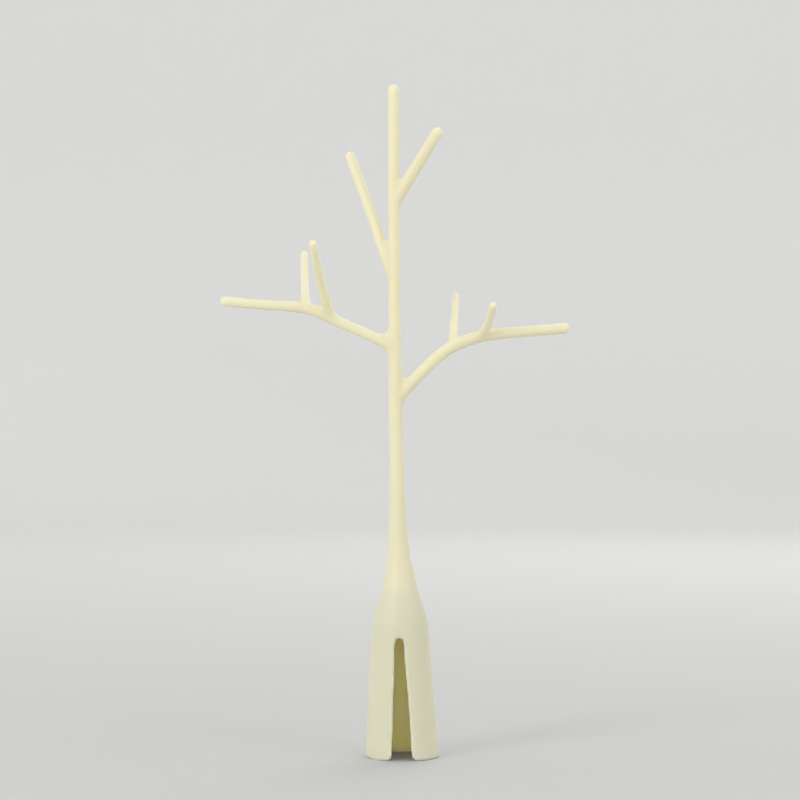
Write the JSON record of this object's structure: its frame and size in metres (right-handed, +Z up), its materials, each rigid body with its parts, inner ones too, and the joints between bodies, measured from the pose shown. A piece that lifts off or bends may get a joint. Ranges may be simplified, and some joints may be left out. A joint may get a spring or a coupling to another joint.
{
  "type": "bottle drying rack accessory tree",
  "caption": "Tree-shaped plastic stand whose slotted hollow foot plugs into a drying rack; its branches hold small bottle and cup parts to dry.",
  "frame": {"origin": "centre of the open rim of the hollow foot, where the foot meets the rack", "axes": "+Z up along the trunk, -Y the front, where the slot in the foot is, +X the viewer's right"},
  "size_m": [0.1398, 0.06, 0.2688],
  "materials": {
    "ivory_plastic": "satin moulded plastic, slightly translucent"
  },
  "bodies": {
    "root": {"socket_skirt": "ivory_plastic", "trunk": "ivory_plastic", "left_bough": "ivory_plastic", "right_bough": "ivory_plastic", "left_front_twig": "ivory_plastic", "left_rear_twig": "ivory_plastic", "right_front_twig": "ivory_plastic", "right_rear_twig": "ivory_plastic", "upper_left_branch": "ivory_plastic", "upper_right_branch": "ivory_plastic"}
  },
  "joints": []
}
